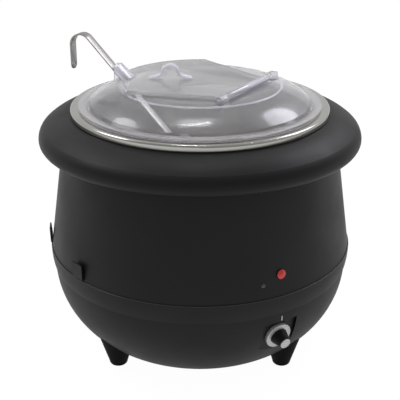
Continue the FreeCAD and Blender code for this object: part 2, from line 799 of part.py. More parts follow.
hook_centre = strip_point(s.hook_rise, -s.hook_round)
leg_x = hook_centre[0] - s.hook_round
leg_bottom = hook_centre[1] - s.hook_leg
strip_end = -ladle_reach - s.ladle_weld
node(padded("ladle_strip", "XZ_Plane", [
    strip_point(strip_end, half_strip),
    (*strip_point(s.hook_rise, half_strip), s.hook_round + half_strip),
    (leg_x - half_strip, hook_centre[1]),
    (leg_x - half_strip, leg_bottom),
    (leg_x + half_strip, leg_bottom),
    (leg_x + half_strip, hook_centre[1], -(s.hook_round - half_strip)),
    strip_point(s.hook_rise, -half_strip),
    strip_point(strip_end, -half_strip),
], s.ladle_width, shifted(ladle_plan, y=s.ladle_width / 2)), "ladle_handle")
bowl_x, bowl_z = strip_point(-ladle_reach, bowl_offset)
bowl_inner = s.ladle_bowl_radius - s.ladle_bowl_wall
lean_back = FreeCAD.Rotation(FreeCAD.Vector(0, 1, 0), s.ladle_lean.number - 90)
ladle_frame = shifted(ladle_plan, x=bowl_x, z=bowl_z).multiply(FreeCAD.Placement(FreeCAD.Vector(), lean_back))
node(revolved("ladle_dish", [
    (0, -s.ladle_bowl_radius, s.ladle_bowl_radius),
    (s.ladle_bowl_radius, 0),
    (bowl_inner, 0, -bowl_inner),
    (0, -bowl_inner),
], ladle_frame), "ladle_bowl")

# Knob: dial, grip, cap and the shaft that they turn on
dial_top = s.dial_height + s.seat_gap
shaft_seat = s.shaft_radius + s.running_gap
knob_bore = s.knob_length - s.dial_wall
node(revolved("dial_body", [
    (shaft_seat, dial_top - s.dial_wall),
    (s.dial_radius - s.dial_wall, dial_top - s.dial_wall),
    (s.dial_radius - s.dial_wall, s.seat_gap),
    (s.dial_radius, s.seat_gap),
    (s.dial_radius, dial_top),
    (shaft_seat, dial_top),
], panel), "dial_disc")
node(revolved("knob_body", [
    (shaft_seat, 0),
    (s.knob_base_radius, 0),
    (s.knob_radius, s.knob_length),
    (0, s.knob_length),
    (0, knob_bore),
    (shaft_seat, knob_bore),
], shifted(panel, z=dial_top)), "knob_grip")
node(cylinder("cap_body", shifted(panel, z=dial_top + s.knob_length), s.cap_radius, s.cap_wall), "knob_cap")
shaft_start = -s.bowl_wall - s.thermostat_depth / 4
node(cylinder("shaft_body", shifted(panel, z=shaft_start), s.shaft_radius,
              dial_top + knob_bore - s.thread_gap - shaft_start), "thermostat_shaft")

# Thermostat behind the panel, its bush and nut, the index mark above the pocket, the bulb and capillary
thermostat_back = -s.bowl_wall - s.seat_gap - s.thermostat_depth
bush_top = s.bush_nut_wall + 2 * s.seat_gap
thermostat_form = fuse("thermostat_form", [
    box("thermostat_case", shifted(panel, z=thermostat_back), s.thermostat_width, s.thermostat_width,
        s.thermostat_depth),
    cylinder("thermostat_bush", shifted(panel, z=-s.bowl_wall - s.thermostat_depth / 2), s.bush_radius,
             s.bowl_wall + s.thermostat_depth / 2 + bush_top),
])
shaft_room = cylinder("shaft_room", shifted(panel, z=shaft_start - s.seat_gap), shaft_seat,
                      bush_top - shaft_start + 2 * s.seat_gap)
node(cut("thermostat_cut", thermostat_form, [shaft_room]), "thermostat")
node(washer("bush_nut_body", shifted(panel, z=s.thread_gap), s.bush_nut_radius,
            s.bush_radius + s.thread_gap, s.bush_nut_wall), "bush_nut")
mark_height = s.panel_height + s.panel_tall / 2 + s.seat_gap + s.mark_length / 2
mark_pitch = math.degrees(math.asin(((mark_height - s.seam_height) / s.bowl_round).number))
mark = facing(s.panel_azimuth, bowl_radius(mark_height, s.bowl_round) + s.thread_gap, mark_height, mark_pitch)
node(box("mark_body", mark, s.mark_width, s.mark_length, s.mark_wall), "index_mark")


def in_panel_plane(radius, height):
    """A point in the upright plane through the panel's middle."""
    return facing(s.panel_azimuth, radius, height, 0).Base


bulb_height = s.well_floor_height - s.bulb_radius - s.seat_gap
bulb_outer = s.element_ring_radius - s.element_radius - 3 * s.bulb_radius
passing_height = s.well_floor_height - 2 * s.element_radius - 3 * s.seat_gap - 2 * s.capillary_radius
bulb_start = facing(s.panel_azimuth, bulb_outer - s.bulb_length, bulb_height, 0)
node(cylinder("bulb_body", bulb_start, s.bulb_radius, s.bulb_length), "thermostat_bulb")
capillary_exit = shifted(panel, z=thermostat_back - s.thread_gap).Base
capillary_turn = shifted(panel, z=thermostat_back - 3 * s.bulb_radius).Base
node(tube("capillary_body", s.capillary_radius, [
    capillary_exit,
    capillary_turn,
    in_panel_plane(s.element_ring_radius + 8 * s.bulb_radius, passing_height),
    in_panel_plane(s.element_ring_radius - s.element_radius, passing_height),
    in_panel_plane(bulb_outer + 1.5 * s.bulb_radius, bulb_height),
    in_panel_plane(bulb_outer + s.thread_gap, bulb_height),
]), "capillary_tube")

# Heater: ring element clamped under the well, shield below it, cut-out beside the stud
element_height = s.well_floor_height - s.element_radius - s.seat_gap
leg_top = element_height
leg_y = root(s.element_ring_radius * s.element_ring_radius - s.element_leg_spread * s.element_leg_spread)
leg_frames = [shifted(HOME, side * s.element_leg_spread, leg_y, leg_top - s.element_leg_length)
              for side in (-1, 1)]
element_ring = primitive("Torus", "element_ring", shifted(HOME, z=element_height),
                         Radius1=s.element_ring_radius, Radius2=s.element_radius)
element_legs = [cylinder(f"element_leg_{index}", frame, s.element_leg_radius, s.element_leg_length)
                for index, frame in enumerate(leg_frames)]
node(fuse("element_form", [element_ring] + element_legs), "heating_element")
clamp_top = element_height - s.element_radius - s.seat_gap
stud_hole = s.stud_radius + s.thread_gap
clamp_length = 2 * (s.element_ring_radius + s.element_radius)
clamp_frame = shifted(HOME, z=clamp_top - s.clamp_wall)
clamp_form = box("clamp_form", clamp_frame, clamp_length, s.clamp_width, s.clamp_wall)
clamp_hole = cylinder("clamp_hole", clamp_frame, stud_hole, s.clamp_wall)
node(cut("clamp_cut", clamp_form, [clamp_hole]), "element_clamp")
stud_frame = shifted(HOME, z=s.well_floor_height - s.stud_length)
node(cylinder("stud_body", stud_frame, s.stud_radius, s.stud_length), "clamp_stud")
upper_nut = clamp_top - s.clamp_wall - s.stud_nut_height
shield_bottom = upper_nut - s.shield_wall
lower_nut = shield_bottom - s.stud_nut_height
nuts = [washer(f"stud_nut_{index}", shifted(HOME, z=height), s.stud_nut_radius, stud_hole, s.stud_nut_height)
        for index, height in enumerate((upper_nut, lower_nut))]
node(fuse("stud_nut_pair", nuts), "stud_nuts")
shield_form = washer("shield_form", shifted(HOME, z=shield_bottom), s.shield_radius, stud_hole, s.shield_wall)
leg_room = [cylinder(f"leg_room_{index}", frame, 2 * s.element_leg_radius, s.element_leg_length)
            for index, frame in enumerate(leg_frames)]
node(cut("shield_cut", shield_form, leg_room), "heat_shield")
cutout_frame = shifted(HOME, y=s.cutout_distance, z=s.well_floor_height - s.seat_gap - s.cutout_height)
node(cylinder("cutout_body", cutout_frame, s.cutout_radius, s.cutout_height), "thermal_cutout")

# Pilot lamp and rivet on the cone
lens_edge = s.seat_gap + s.lens_dome / 2
lens_round = arch_round(s.lens_radius, s.lens_dome)
node(revolved("lens_body", [
    (0, -s.cone_wall - s.thread_gap),
    (s.lamp_stem_radius, -s.cone_wall - s.thread_gap),
    (s.lamp_stem_radius, s.seat_gap),
    (s.lens_radius, s.seat_gap),
    (s.lens_radius, lens_edge, lens_round),
    (0, lens_edge + s.lens_dome),
], lamp), "pilot_lens")
lamp_front = -s.cone_wall - 2 * s.seat_gap
node(cylinder("lamp_body", shifted(lamp, z=lamp_front - s.lamp_body_length), s.lamp_body_radius,
              s.lamp_body_length), "pilot_lamp_body")
rivet_tail = -s.cone_wall - 2 * s.seat_gap
node(revolved("rivet_body", [
    (0, rivet_tail - s.rivet_head_height),
    (s.rivet_head_radius, rivet_tail - s.rivet_head_height),
    (s.rivet_head_radius, rivet_tail),
    (s.rivet_shank_radius, rivet_tail),
    (s.rivet_shank_radius, s.thread_gap),
    (s.rivet_head_radius, s.thread_gap, arch_round(s.rivet_head_radius, s.rivet_head_height)),
    (0, s.thread_gap + s.rivet_head_height),
], rivet), "shell_rivet")

# Cord clips: blades that stand off the cone at the top
clip_foot = s.ledge_height + s.ledge_step
for side, azimuth in (("front", s.clip_front_azimuth), ("side", s.clip_side_azimuth)):
    frame = shifted(facing(azimuth, cone_radius(clip_foot), clip_foot, cone_pitch), x=-s.clip_width / 2)
    node(padded("clip_blade_" + side, "YZ_Plane", [
        (0, s.seat_gap),
        (s.clip_height / 4, s.seat_gap),
        (s.clip_height, s.clip_spread),
        (s.clip_height, s.clip_spread + s.clip_wall),
        (0, s.seat_gap + s.clip_wall),
    ], s.clip_width, frame), "cord_clip_" + side)

# Cable gland through the back of the bowl, with its nut inside
gland_nut_face = s.bowl_wall + s.bowl_wall / 3
node(revolved("gland_body", [
    (s.gland_bore, -s.gland_length),
    (s.gland_radius, -s.gland_length),
    (s.gland_radius, s.seat_gap),
    (s.gland_flange_radius, s.seat_gap),
    (s.gland_flange_radius, s.seat_gap + s.gland_flange_wall),
    (s.gland_bore, s.seat_gap + s.gland_flange_wall),
], gland), "cable_gland")
node(washer("gland_nut_body", shifted(gland, z=-s.gland_length), s.gland_flange_radius,
            s.gland_radius + s.thread_gap, s.gland_length - gland_nut_face), "gland_nut")

# Terminal block on the floor at the back, and the wires inside
terminal_back = bowl_radius(floor_inside, bowl_inner_round) - s.terminal_room
terminal_middle = terminal_back - s.terminal_width / 2
terminal_top = floor_inside + s.terminal_height
node(box("terminal_form", shifted(HOME, y=terminal_middle, z=floor_inside), s.terminal_length,
         s.terminal_width, s.terminal_height), "terminal_block")


def ring_point(azimuth, radius, height):
    return facing(azimuth, radius, height, 0).Base


leg_bottom_height = leg_top - s.element_leg_length
crossing_height = (terminal_top.number + leg_bottom_height.number) / 2
for name, side in (("wire_element_left", -1), ("wire_element_right", 1)):
    across = side * s.element_leg_spread.number
    node(tube(name + "_tube", s.wire_radius, [
        FreeCAD.Vector(across, terminal_middle.number, (terminal_top + s.thread_gap).number),
        FreeCAD.Vector(across, terminal_middle.number, crossing_height),
        FreeCAD.Vector(across, leg_y.number, crossing_height),
        FreeCAD.Vector(across, leg_y.number, (leg_bottom_height - s.thread_gap).number),
    ]), name)
wire_height = floor_inside + s.terminal_height / 2
wire_ring = terminal_back
feed_offset = s.thermostat_width / 4
terminal_side = s.terminal_length / 2 + s.thread_gap
feed_start = FreeCAD.Vector(terminal_side.number, terminal_middle.number, wire_height.number)
feed_lead = feed_start + FreeCAD.Vector((s.terminal_width / 2).number, 0, 0)
feed_route = [ring_point(azimuth, wire_ring, wire_height) for azimuth in FEED_AZIMUTHS]
feed_turn = shifted(panel, feed_offset, -feed_offset, thermostat_back - s.thermostat_depth / 2).Base
feed_end = shifted(panel, feed_offset, -feed_offset, thermostat_back - s.thread_gap).Base
feed_points = [feed_start, feed_lead] + feed_route + [feed_turn, feed_end]
node(tube("wire_thermostat_tube", s.wire_radius, feed_points), "wire_thermostat")
lead_length = 6 * s.wire_radius
lamp_lead_y = -s.lamp_body_radius - s.thread_gap
lamp_lead_z = lamp_front - s.lamp_body_length / 2
lamp_lead = [shifted(lamp, y=lamp_lead_y - step, z=lamp_lead_z).Base for step in (s.seat_gap, lead_length)]
thermostat_lead_y = s.thermostat_width / 2 + s.thread_gap
thermostat_lead_z = thermostat_back + s.thermostat_depth / 2
thermostat_lead = [shifted(panel, y=thermostat_lead_y + step, z=thermostat_lead_z).Base
                   for step in (lead_length, 0)]
node(tube("wire_lamp_tube", s.wire_radius, lamp_lead + thermostat_lead), "wire_lamp")

doc.recompute()
faulty = [item.Label for item in doc.Objects if "Invalid" in item.State or "Error" in item.State]
if faulty:
    raise RuntimeError("failed objects: " + ", ".join(faulty))
for label, item in nodes.items():
    if item.Shape.isNull() or not item.Shape.isValid():
        raise RuntimeError("bad shape: " + label)
os.makedirs("parts", exist_ok=True)
for label, item in nodes.items():
    item.Shape.exportStep(os.path.join("parts", label + ".step"))
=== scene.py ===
import json
import math

import bpy
from mathutils import Matrix, Vector


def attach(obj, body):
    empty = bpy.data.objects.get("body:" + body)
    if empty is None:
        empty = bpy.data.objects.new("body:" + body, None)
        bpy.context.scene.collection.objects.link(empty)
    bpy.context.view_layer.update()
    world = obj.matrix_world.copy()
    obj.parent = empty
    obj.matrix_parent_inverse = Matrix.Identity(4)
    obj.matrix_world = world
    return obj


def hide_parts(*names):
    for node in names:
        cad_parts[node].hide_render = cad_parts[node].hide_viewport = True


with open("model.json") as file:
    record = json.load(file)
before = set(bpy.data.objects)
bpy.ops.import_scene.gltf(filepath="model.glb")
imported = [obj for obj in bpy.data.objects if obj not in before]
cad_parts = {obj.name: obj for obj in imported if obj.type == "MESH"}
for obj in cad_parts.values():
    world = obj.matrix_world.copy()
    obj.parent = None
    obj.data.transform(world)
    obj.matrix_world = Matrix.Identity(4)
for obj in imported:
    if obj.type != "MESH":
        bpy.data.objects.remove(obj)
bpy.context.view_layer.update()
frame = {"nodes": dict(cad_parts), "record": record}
nodes = frame["nodes"]

MM = 0.001
QUARTER = math.radians(90)

# Camera and stage, in metres
IMAGE_PIXELS = 400
FOCAL_PIXELS = 841
SENSOR_MM = 36
CAMERA_PLACE = Vector((0, -0.868, 0.530))
AIM_PLACE = Vector((0, 0, 0.1557))
LAMP_AIM = Vector((0, 0, 0.25))
FLOOR_SIZE = 12

# The floor: its finish, and how much of its white the camera and mirroring surfaces see
BACKGROUND_WHITE = 1.05
FLOOR_COLOUR = (0.82, 0.82, 0.82, 1)
FLOOR_ROUGH = 0.9
FLOOR_SHADE = 0.93
FLOOR_MIRRORED = 0.5

# The room: the strength of its light in front and behind, and the part of a direction's Y between them
ROOM_LIGHT = (0.3, 0.6)
ROOM_SPAN = (-0.55, 0.75)

# Halfway between a ray that nothing has mirrored and one that was mirrored once
HALF_BOUNCE = 0.5

# Part of a noise pattern's range that is spread over a finish's range of gloss
NOISE_SPAN = (0.3, 0.7)

# Grain of coated and moulded surfaces
BLOTCH_SCALE = 22.0
GRAIN_STRENGTH = 0.35

# Spun steel of the pot: its wall's outside in metres from the axis, and the rougher, brush-finished inside,
# paler and half non-metallic as painted light
POT_OUTSIDE = 0.1195
WALL_REACH = 0.0009
BRUSHED_ROUGHER = 0.24
INSIDE_PAINTED_LIGHT = 0.5
SPUN_SMEAR = 9.0
SPUN_STRENGTH = 0.2

# Sheen and handling haze of the clear plastic
SHEEN_WEIGHT = 0.8
SHEEN_ROUGH = 0.2
SHEEN_IOR = 1.45
HAZE_GRAIN = 240.0
HAZE_BLOTCH = 30.0
HAZE_PALER = 0.03
HAZE_STRENGTH = 0.05
HAZE_DEPTH = 0.00005


def new_material(name):
    """A material with a Principled shader, returned with its tree and shader."""
    material = bpy.data.materials.new(name)
    material.use_nodes = True
    tree = material.node_tree
    return material, tree, tree.nodes["Principled BSDF"]


def add(tree, kind, **settings):
    """A node with its properties and, by name, its input values set."""
    made = tree.nodes.new(kind)
    for key, value in settings.items():
        if key in made.inputs:
            made.inputs[key].default_value = value
        else:
            setattr(made, key, value)
    return made


def worked_out(tree, operation, *values):
    """The result of a Math node on numbers and other nodes' results."""
    made = add(tree, "ShaderNodeMath", operation=operation)
    for socket, value in zip(made.inputs, values):
        if isinstance(value, (int, float)):
            socket.default_value = value
        else:
            tree.links.new(value, socket)
    return made.outputs["Value"]


def spread(tree, value, span, reach, **settings):
    """A value mapped from one range to another."""
    made = add(tree, "ShaderNodeMapRange", **settings)
    for label, ends in (("From", span), ("To", reach)):
        made.inputs[label + " Min"].default_value = ends[0]
        made.inputs[label + " Max"].default_value = ends[1]
    tree.links.new(value, made.inputs["Value"])
    return made.outputs["Result"]


def group_with(name, inputs, outputs):
    """An empty shader group with named values in and out, its tree and its two end nodes."""
    tree = bpy.data.node_groups.new(name, "ShaderNodeTree")
    for label, value in inputs.items():
        socket = tree.interface.new_socket(label, in_out="INPUT", socket_type="NodeSocketFloat")
        socket.default_value = value
    for label in outputs:
        tree.interface.new_socket(label, in_out="OUTPUT", socket_type="NodeSocketFloat")
    return tree, tree.nodes.new("NodeGroupInput"), tree.nodes.new("NodeGroupOutput")


def grain_group():
    """Fine grain of a moulded or coated surface, as a height, with slow blotches as a mask."""
    tree, start, end = group_with(
        "surface_grain", {"Grain Scale": 900.0, "Blotch Scale": 18.0}, ("Height", "Blotch"))
    place = add(tree, "ShaderNodeTexCoord")
    grain = add(tree, "ShaderNodeTexNoise", Detail=3.0, Roughness=0.6)
    blotch = add(tree, "ShaderNodeTexNoise", Detail=4.0, Roughness=0.55)
    links = tree.links
    for noise, scale, result in ((grain, "Grain Scale", "Height"), (blotch, "Blotch Scale", "Blotch")):
        links.new(place.outputs["Object"], noise.inputs["Vector"])
        links.new(start.outputs[scale], noise.inputs["Scale"])
        links.new(noise.outputs["Fac"], end.inputs[result])
    return tree


def spun_group():
    """Rings left by spinning metal about the kettle's axis, as a height, with masks.

    The masks are faint smears, the outside of one wall, and all that lies inside that wall.
    """
    tree, start, end = group_with(
        "spun_rings", {"Ring Scale": 1400.0, "Smear": 6.0, "Wall Radius": 0.12},
        ("Height", "Mask", "Wall", "Inside"))
    links = tree.links
    place = add(tree, "ShaderNodeTexCoord")
    parts = add(tree, "ShaderNodeSeparateXYZ")
    across = add(tree, "ShaderNodeCombineXYZ")
    length = add(tree, "ShaderNodeVectorMath", operation="LENGTH")
    along = add(tree, "ShaderNodeCombineXYZ")
    scales = add(tree, "ShaderNodeCombineXYZ")
    stretched = add(tree, "ShaderNodeVectorMath", operation="MULTIPLY")
    rings = add(tree, "ShaderNodeTexNoise", Scale=1.0, Detail=4.0, Roughness=0.65)
    smudge = add(tree, "ShaderNodeTexNoise", Detail=3.0)
    radius = length.outputs["Value"]
    links.new(place.outputs["Object"], parts.inputs["Vector"])
    links.new(parts.outputs["X"], across.inputs["X"])
    links.new(parts.outputs["Y"], across.inputs["Y"])
    links.new(across.outputs["Vector"], length.inputs[0])
    links.new(radius, along.inputs["X"])
    links.new(parts.outputs["Z"], along.inputs["Z"])
    for axis in ("X", "Y", "Z"):
        links.new(start.outputs["Ring Scale"], scales.inputs[axis])
    links.new(along.outputs["Vector"], stretched.inputs[0])
    links.new(scales.outputs["Vector"], stretched.inputs[1])
    links.new(stretched.outputs["Vector"], rings.inputs["Vector"])
    links.new(place.outputs["Object"], smudge.inputs["Vector"])
    links.new(start.outputs["Smear"], smudge.inputs["Scale"])
    wall = start.outputs["Wall Radius"]
    inner_face = worked_out(tree, "SUBTRACT", wall, WALL_REACH)
    links.new(rings.outputs["Fac"], end.inputs["Height"])
    links.new(smudge.outputs["Fac"], end.inputs["Mask"])
    links.new(worked_out(tree, "COMPARE", radius, wall, WALL_REACH), end.inputs["Wall"])
    links.new(worked_out(tree, "LESS_THAN", radius, inner_face), end.inputs["Inside"])
    return tree


GRAIN = grain_group()
SPUN = spun_group()


def use_group(tree, group, **values):
    """A shader group placed in a material, with its inputs set by name."""
    made = tree.nodes.new("ShaderNodeGroup")
    made.node_tree = group
    for label, value in values.items():
        made.inputs[label.replace("_", " ")].default_value = value
    return made


def mixed_colour(tree, mask, dark, light):
    """A colour that runs from dark to light with a mask, where dark may be another mix."""
    mix = add(tree, "ShaderNodeMix", data_type="RGBA")
    first, second = [socket for socket in mix.inputs if socket.type == "RGBA"]
    if isinstance(dark, tuple):
        first.default_value = (*dark, 1)
    else:
        tree.links.new(dark, first)
    second.default_value = (*light, 1)
    tree.links.new(mask, mix.inputs["Factor"])
    return [socket for socket in mix.outputs if socket.type == "RGBA"][0]


def bumped(tree, shader, height, strength, distance):
    """Relief from a height, with its depth in metres."""
    bump = add(tree, "ShaderNodeBump", Strength=strength, Distance=distance)
    tree.links.new(height, bump.inputs["Height"])
    tree.links.new(bump.outputs["Normal"], shader.inputs["Normal"])


def grained(name, dark, light, rough, grain_scale, depth, metallic=0.0, specular=0.5):
    """A coated or moulded finish: colour and gloss drift slowly, and fine grain breaks up the light."""
    material, tree, shader = new_material(name)
    shader.inputs["Metallic"].default_value = metallic
    shader.inputs["Specular IOR Level"].default_value = specular
    grain = use_group(tree, GRAIN, Grain_Scale=grain_scale, Blotch_Scale=BLOTCH_SCALE)
    blotch = grain.outputs["Blotch"]
    tree.links.new(mixed_colour(tree, blotch, dark, light), shader.inputs["Base Color"])
    tree.links.new(spread(tree, blotch, NOISE_SPAN, rough), shader.inputs["Roughness"])
    bumped(tree, shader, grain.outputs["Height"], GRAIN_STRENGTH, depth)
    return material


def turned_metal(name, dark, light, dull, brushed, rough, ring_scale, depth):
    """Bare metal with spin rings and faint smears, dull outside the pot's wall and rougher, brush-finished
    inside it, where a pale, half non-metallic colour is painted light that brightens the inside.
    """
    material, tree, shader = new_material(name)
    spun = use_group(tree, SPUN, Ring_Scale=ring_scale, Smear=SPUN_SMEAR, Wall_Radius=POT_OUTSIDE)
    inside = spun.outputs["Inside"]
    bright = mixed_colour(tree, spun.outputs["Mask"], dark, light)
    outside = mixed_colour(tree, spun.outputs["Wall"], bright, dull)
    ringed = spread(tree, spun.outputs["Height"], NOISE_SPAN, rough)
    coarser = worked_out(tree, "MULTIPLY_ADD", inside, BRUSHED_ROUGHER, ringed)
    # Painted light: inside the wall the metal is half non-metallic, so its pale colour brightens the pot's
    # inside
    mirrored = worked_out(tree, "MULTIPLY_ADD", inside, -INSIDE_PAINTED_LIGHT, 1.0)
    tree.links.new(mixed_colour(tree, inside, outside, brushed), shader.inputs["Base Color"])
    tree.links.new(coarser, shader.inputs["Roughness"])
    tree.links.new(mirrored, shader.inputs["Metallic"])
    bumped(tree, shader, spun.outputs["Height"], SPUN_STRENGTH, depth)
    return material


def clear_plastic(name, tint, rough, ior, clarity):
    """Clear moulded plastic with faint handling haze and a softer sheen over it."""
    material, tree, shader = new_material(name)
    shader.inputs["Transmission Weight"].default_value = clarity
    shader.inputs["Coat Weight"].default_value = SHEEN_WEIGHT
    shader.inputs["Coat Roughness"].default_value = SHEEN_ROUGH
    shader.inputs["Coat IOR"].default_value = SHEEN_IOR
    shader.inputs["IOR"].default_value = ior
    haze = use_group(tree, GRAIN, Grain_Scale=HAZE_GRAIN, Blotch_Scale=HAZE_BLOTCH)
    blotch = haze.outputs["Blotch"]
    pale = tuple(min(1.0, part + HAZE_PALER) for part in tint)
    tree.links.new(mixed_colour(tree, blotch, tint, pale), shader.inputs["Base Color"])
    tree.links.new(spread(tree, blotch, NOISE_SPAN, rough), shader.inputs["Roughness"])
    bumped(tree, shader, haze.outputs["Height"], HAZE_STRENGTH, HAZE_DEPTH)
    return material


finishes = {
    "black_shell": grained(
        "black_powder_coat", dark=(0.0075, 0.0077, 0.0085), light=(0.0105, 0.0107, 0.0115),
        rough=(0.44, 0.54), grain_scale=1500.0, depth=0.00008, specular=0.3),
    "foot_rubber": grained(
        "foot_rubber", dark=(0.003, 0.003, 0.003), light=(0.005, 0.005, 0.005),
        rough=(0.55, 0.7), grain_scale=1200.0, depth=0.0001, specular=0.1),
    "black_plastic": grained(
        "black_moulded_plastic", dark=(0.004, 0.004, 0.004), light=(0.008, 0.008, 0.008),
        rough=(0.35, 0.5), grain_scale=1600.0, depth=0.00006, specular=0.18),
    # The pot's pale inside colour is painted light on a rougher finish
    "pot_steel": turned_metal(
        "spun_pot_steel", dark=(0.50, 0.495, 0.46), light=(0.60, 0.595, 0.56), dull=(0.33, 0.325, 0.31),
        brushed=(0.88, 0.86, 0.82), rough=(0.1, 0.22), ring_scale=1500.0, depth=0.00004),
    "ladle_steel": grained(
        "brushed_ladle_steel", dark=(0.38, 0.375, 0.36), light=(0.47, 0.465, 0.45),
        rough=(0.34, 0.46), grain_scale=1300.0, depth=0.00005, metallic=1.0),
    "plated_steel": grained(
        "zinc_plate", dark=(0.42, 0.42, 0.43), light=(0.55, 0.55, 0.56),
        rough=(0.3, 0.45), grain_scale=700.0, depth=0.00006, metallic=1.0),
    "copper_alloy": grained(
        "drawn_copper", dark=(0.55, 0.28, 0.16), light=(0.68, 0.38, 0.24),
        rough=(0.25, 0.4), grain_scale=700.0, depth=0.00005, metallic=1.0),
    "silver_trim": grained(
        "satin_silver", dark=(0.76, 0.76, 0.745), light=(0.84, 0.84, 0.825),
        rough=(0.34, 0.46), grain_scale=1800.0, depth=0.00004, metallic=0.4),
    "clear_plastic": clear_plastic(
        "clear_lid_plastic", tint=(0.94, 0.935, 0.955), rough=(0.03, 0.08), ior=1.17, clarity=0.92),
    "hinge_clear": clear_plastic(
        "clear_hinge_rod", tint=(0.88, 0.88, 0.96), rough=(0.05, 0.1), ior=1.25, clarity=0.78),
    "red_lens": grained(
        "red_lamp_lens", dark=(0.88, 0.055, 0.055), light=(0.98, 0.09, 0.09),
        rough=(0.16, 0.26), grain_scale=300.0, depth=0.00003),
    "lamp_plastic": grained(
        "lamp_housing", dark=(0.55, 0.55, 0.53), light=(0.64, 0.64, 0.62),
        rough=(0.4, 0.5), grain_scale=900.0, depth=0.00005),
    "white_mark": grained(
        "white_print", dark=(0.90, 0.90, 0.86), light=(0.96, 0.96, 0.92),
        rough=(0.5, 0.6), grain_scale=1500.0, depth=0.00003),
    "wire_cover": grained(
        "wire_cover", dark=(0.05, 0.10, 0.26), light=(0.07, 0.14, 0.33),
        rough=(0.45, 0.55), grain_scale=900.0, depth=0.00005),
}
FLAP_CLEAR = clear_plastic(
    "clear_flap_plastic", tint=(0.94, 0.935, 0.955), rough=(0.1, 0.16), ior=1.2, clarity=0.89)
THICK_CLEAR = clear_plastic(
    "thick_clear_edge", tint=(0.90, 0.895, 0.955), rough=(0.04, 0.09), ior=1.3, clarity=0.76)
GRIP_CLEAR = clear_plastic(
    "thick_clear_grip", tint=(0.90, 0.895, 0.955), rough=(0.06, 0.12), ior=1.3, clarity=0.6)
# Painted highlight: a coat lighter and glossier than the casing's, for the line along the casing's ledge
LEDGE_HIGHLIGHT_COAT = grained(
    "ledge_painted_highlight_coat", dark=(0.022, 0.022, 0.024), light=(0.032, 0.032, 0.034),
    rough=(0.28, 0.38), grain_scale=1500.0, depth=0.00005)
DULL_RIVET = grained(
    "dull_rivet", dark=(0.10, 0.10, 0.10), light=(0.15, 0.15, 0.15),
    rough=(0.35, 0.5), grain_scale=900.0, depth=0.00004, metallic=1.0)

for entry in frame["record"]["subparts"]:
    mesh = nodes[entry["node"]].data
    mesh.materials.clear()
    mesh.materials.append(finishes[entry["material_slot"]])
nodes["shell_rivet"].data.materials[0] = DULL_RIVET


def facing(azimuth, radius, height, pitch):
    """A frame on the wall, in millimetres and degrees from the front.

    Its Z points out of the wall, its Y up the wall and its X to the right.
    """
    turn = math.radians(azimuth)
    tilt = math.radians(pitch)
    level = Vector((math.sin(turn), -math.cos(turn), 0))
    right = Vector((math.cos(turn), math.sin(turn), 0))
    out = level * math.cos(tilt) + Vector((0, 0, math.sin(tilt)))
    turned = Matrix((right, out.cross(right), out)).transposed().to_4x4()
    base = (level * radius + Vector((0, 0, height))) * MM
    return Matrix.Translation(base) @ turned


# Frames that pieces are made in: the flap's, the ladle's and three on the casing
FLAP_TURN = math.radians(58)
LADLE_TURN = math.radians(-20)
LADLE_PLACE = (-81 * MM, 7 * MM, 0)
FLAP_FRAME = Matrix.Rotation(FLAP_TURN, 4, "Z")
LADLE_FRAME = Matrix.Translation(LADLE_PLACE) @ Matrix.Rotation(LADLE_TURN, 4, "Z")
PANEL_FRAME = facing(azimuth=30, radius=155.705, height=66, pitch=-12)
LAMP_FRAME = facing(azimuth=29, radius=162.83, height=138.5, pitch=8.765)
MARK_FRAME = facing(azimuth=30, radius=163.868, height=88.2, pitch=-3.899)
UNTURNED = Matrix.Identity(4)

# How near to a place counts as being there, in millimetres
NEAR = 0.01
SMOOTH_BELOW = math.radians(38)


def start_piece():
    """Deselect everything, so that the next operator acts on its own piece alone."""
    bpy.ops.object.select_all(action="DESELECT")


def active(piece):
    """Select one piece."""
    start_piece()
    piece.select_set(True)
    bpy.context.view_layer.objects.active = piece


def choose(piece, kind, test):
    """Open the piece for editing, with only the points or faces selected that lie where the test says."""
    active(piece)
    mesh = piece.data
    for items in (mesh.vertices, mesh.edges, mesh.polygons):
        for item in items:
            item.select = False
    if kind == "VERT":
        for vertex in mesh.vertices:
            vertex.select = test(vertex.co)
    if kind == "FACE":
        for face in mesh.polygons:
            face.select = test(face.center)
    bpy.context.tool_settings.mesh_select_mode = (kind == "VERT", False, kind == "FACE")
    bpy.ops.object.mode_set(mode="EDIT")


def whole(piece):
    """Open the piece for editing with all of it selected."""
    active(piece)
    bpy.context.tool_settings.mesh_select_mode = (True, False, False)
    bpy.ops.object.mode_set(mode="EDIT")
    bpy.ops.mesh.select_all(action="SELECT")


def close_edit():
    """End editing."""
    bpy.ops.object.mode_set(mode="OBJECT")


def extruded(*along):
    """Extrude what is selected along a line, in millimetres."""
    bpy.ops.mesh.extrude_region_move(TRANSFORM_OT_translate={"value": tuple(part * MM for part in along)})


def trimmed(piece, place, normal):
    """Cut away what lies on the side that the normal points to, and close the cut."""
    whole(piece)
    bpy.ops.mesh.bisect(plane_co=Vector(place) * MM, plane_no=normal, use_fill=True, clear_outer=True)
    close_edit()


def modified(piece, kind, **settings):
    """Add a modifier and apply it."""
    active(piece)
    change = piece.modifiers.new(kind.lower(), kind)
    for key, value in settings.items():
        setattr(change, key, value)
    bpy.ops.object.modifier_apply(modifier=change.name)


def rounded(piece, width, segments, sharp):
    """Round the edges that turn by more than an angle, in millimetres and degrees."""
    modified(piece, "BEVEL", width=width * MM, segments=segments, limit_method="ANGLE",
             angle_limit=math.radians(sharp))


def combined(piece, other, operation):
    """Join another piece to this one or cut it out of it."""
    modified(piece, "BOOLEAN", operation=operation, object=other, solver="EXACT")
    bpy.data.objects.remove(other)


def settled(piece, place=UNTURNED):
    """Put the piece in its frame, with its place in the mesh, and turn its faces outward."""
    bpy.context.view_layer.update()
    piece.matrix_world = place @ piece.matrix_world
    active(piece)
    bpy.ops.object.transform_apply(location=True, rotation=True, scale=True)
    whole(piece)
    bpy.ops.mesh.normals_make_consistent(inside=False)
    close_edit()
    return piece


